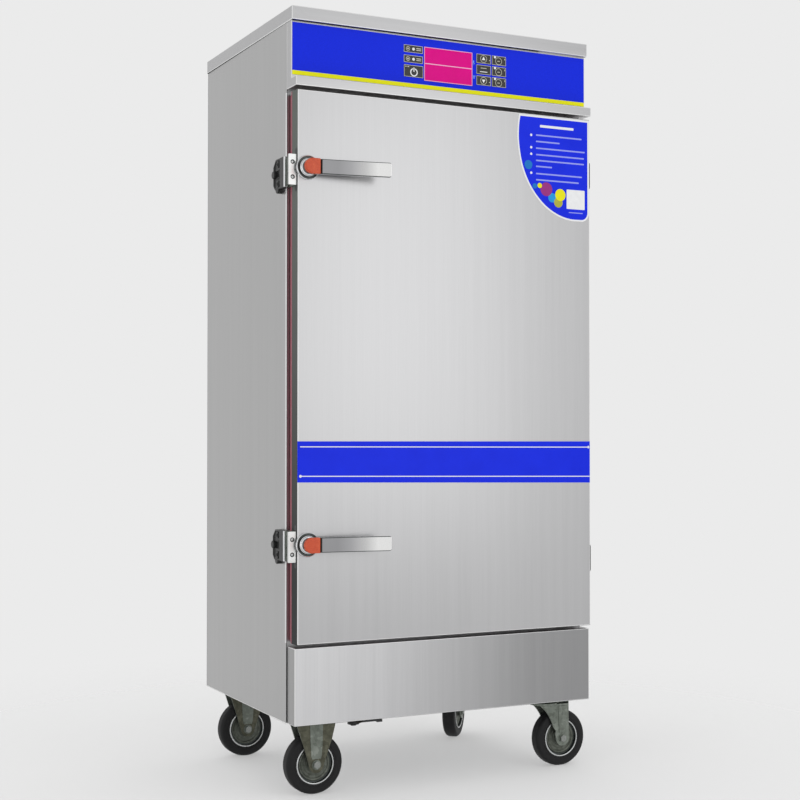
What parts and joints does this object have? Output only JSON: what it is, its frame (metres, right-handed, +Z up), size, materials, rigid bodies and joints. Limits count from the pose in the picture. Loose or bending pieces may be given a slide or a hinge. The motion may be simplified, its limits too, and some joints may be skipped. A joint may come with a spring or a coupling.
{
  "type": "bun steamer cabinet",
  "caption": "Tall stainless steam cabinet for trays of buns, with a hinged door, lever latches, a control panel, a water tank with a heater, and casters.",
  "frame": {"origin": "on the floor, below the middle of the bounding box", "axes": "+Z up, +Y from the door to the rear panel, +X to the right of someone who faces the door"},
  "size_m": [0.7414, 0.6176, 1.6],
  "materials": {
    "outer_steel": "brushed",
    "side_steel": "brushed",
    "inner_steel": "satin",
    "zinc_steel": "zinc plated",
    "chrome": "polished",
    "black_casting": "black enamel",
    "blue_film": "smooth film",
    "magenta_window": "smooth",
    "key_black": "matte",
    "orange_plastic": "smooth",
    "red_silicone": "matte",
    "black_rubber": "matte",
    "mineral_wool": "fibrous",
    "board_green": "matte",
    "brass": "machined",
    "black_plastic": "matte"
  },
  "bodies": {
    "cabinet": {"side_panel_left": "side_steel", "side_panel_right": "side_steel", "rear_panel": "side_steel", "base_pan": "inner_steel", "top_cover": "outer_steel", "face_frame": "outer_steel", "header_housing": "outer_steel", "plinth_panel": "outer_steel", "chamber_liner": "inner_steel", "insulation": "mineral_wool", "tray_rack_left": "inner_steel", "tray_rack_right": "inner_steel", "water_tank": "inner_steel", "tank_cover": "inner_steel", "heating_element": "zinc_steel", "float_box": "inner_steel", "drain_valve": "brass", "steam_vent": "inner_steel", "cable_gland": "black_plastic", "control_film": "blue_film", "display_window": "magenta_window", "control_board": "board_green", "latch_keeper_upper": "black_casting", "latch_keeper_lower": "black_casting", "hinge_bracket_upper": "black_casting", "hinge_bracket_lower": "black_casting", "rigid_fork_front": "zinc_steel", "rigid_fork_rear": "zinc_steel", "swivel_plate_front": "zinc_steel", "swivel_plate_rear": "zinc_steel"},
    "door": {"door_skin": "outer_steel", "door_pan": "inner_steel", "door_gasket": "red_silicone", "latch_case_upper": "chrome", "latch_case_lower": "chrome", "hinge_leaf_upper": "black_casting", "hinge_leaf_lower": "black_casting"},
    "handle_upper": {"handle_lever_upper": "chrome", "handle_cap_upper": "orange_plastic"},
    "handle_lower": {"handle_lever_lower": "chrome", "handle_cap_lower": "orange_plastic"},
    "swivel_front": {"swivel_fork_front": "zinc_steel"},
    "swivel_rear": {"swivel_fork_rear": "zinc_steel"},
    "wheel_left_front": {"hub_left_front": "zinc_steel", "tyre_left_front": "black_rubber"},
    "wheel_left_rear": {"hub_left_rear": "zinc_steel", "tyre_left_rear": "black_rubber"},
    "wheel_right_front": {"hub_right_front": "zinc_steel", "tyre_right_front": "black_rubber"},
    "wheel_right_rear": {"hub_right_rear": "zinc_steel", "tyre_right_rear": "black_rubber"},
    "key_up": {"key_up": "key_black"},
    "key_set": {"key_set": "key_black"},
    "key_down": {"key_down": "key_black"},
    "key_function_1": {"key_function_1": "key_black"},
    "key_function_2": {"key_function_2": "key_black"},
    "key_function_3": {"key_function_3": "key_black"},
    "key_power": {"key_power": "key_black"},
    "drain_lever": {"drain_lever": "black_plastic"},
    "float": {"float": "brass"}
  },
  "joints": [
    {"name": "door_swing", "type": "hinge", "parent": "cabinet", "child": "door", "pos_m": [0.35177, -0.21715, 0.8845], "axis": [0, 0, 1], "range_deg": [0, 180]},
    {"name": "handle_upper_turn", "type": "hinge", "parent": "door", "child": "handle_upper", "pos_m": [-0.33123, -0.26115, 1.271], "axis": [0, -1, 0], "range_deg": [0, 90]},
    {"name": "handle_lower_turn", "type": "hinge", "parent": "door", "child": "handle_lower", "pos_m": [-0.33123, -0.26115, 0.517], "axis": [0, -1, 0], "range_deg": [0, 90]},
    {"name": "swivel_front_turn", "type": "hinge", "parent": "cabinet", "child": "swivel_front", "pos_m": [0.27077, -0.17515, 0.14], "axis": [0, 0, 1], "continuous": true},
    {"name": "swivel_rear_turn", "type": "hinge", "parent": "cabinet", "child": "swivel_rear", "pos_m": [0.27077, 0.22485, 0.14], "axis": [0, 0, 1], "continuous": true},
    {"name": "wheel_left_front_spin", "type": "hinge", "parent": "cabinet", "child": "wheel_left_front", "pos_m": [-0.28323, -0.17515, 0.06196], "axis": [0, 1, 0], "continuous": true},
    {"name": "wheel_left_rear_spin", "type": "hinge", "parent": "cabinet", "child": "wheel_left_rear", "pos_m": [-0.28323, 0.22485, 0.06196], "axis": [0, 1, 0], "continuous": true},
    {"name": "wheel_right_front_spin", "type": "hinge", "parent": "swivel_front", "child": "wheel_right_front", "pos_m": [0.30877, -0.17515, 0.06196], "axis": [0, 1, 0], "continuous": true},
    {"name": "wheel_right_rear_spin", "type": "hinge", "parent": "swivel_rear", "child": "wheel_right_rear", "pos_m": [0.24554, 0.19643, 0.06196], "axis": [0.7478, -0.6639, 0], "continuous": true},
    {"name": "key_up_press", "type": "slide", "parent": "cabinet", "child": "key_up", "axis": [0, 1, 0], "range_m": [0, 0.0008], "stiffness_N_per_m": 500},
    {"name": "key_set_press", "type": "slide", "parent": "cabinet", "child": "key_set", "axis": [0, 1, 0], "range_m": [0, 0.0008], "stiffness_N_per_m": 500},
    {"name": "key_down_press", "type": "slide", "parent": "cabinet", "child": "key_down", "axis": [0, 1, 0], "range_m": [0, 0.0008], "stiffness_N_per_m": 500},
    {"name": "key_function_1_press", "type": "slide", "parent": "cabinet", "child": "key_function_1", "axis": [0, 1, 0], "range_m": [0, 0.0008], "stiffness_N_per_m": 500},
    {"name": "key_function_2_press", "type": "slide", "parent": "cabinet", "child": "key_function_2", "axis": [0, 1, 0], "range_m": [0, 0.0008], "stiffness_N_per_m": 500},
    {"name": "key_function_3_press", "type": "slide", "parent": "cabinet", "child": "key_function_3", "axis": [0, 1, 0], "range_m": [0, 0.0008], "stiffness_N_per_m": 500},
    {"name": "key_power_press", "type": "slide", "parent": "cabinet", "child": "key_power", "axis": [0, 1, 0], "range_m": [0, 0.0008], "stiffness_N_per_m": 500},
    {"name": "drain_lever_turn", "type": "hinge", "parent": "cabinet", "child": "drain_lever", "pos_m": [-0.17623, -0.14215, 0.129], "axis": [0, 0, -1], "range_deg": [0, 90]},
    {"name": "float_swing", "type": "hinge", "parent": "cabinet", "child": "float", "pos_m": [0.28377, 0.22885, 0.287], "axis": [-1, 0, 0], "range_deg": [0, 20]}
  ]
}
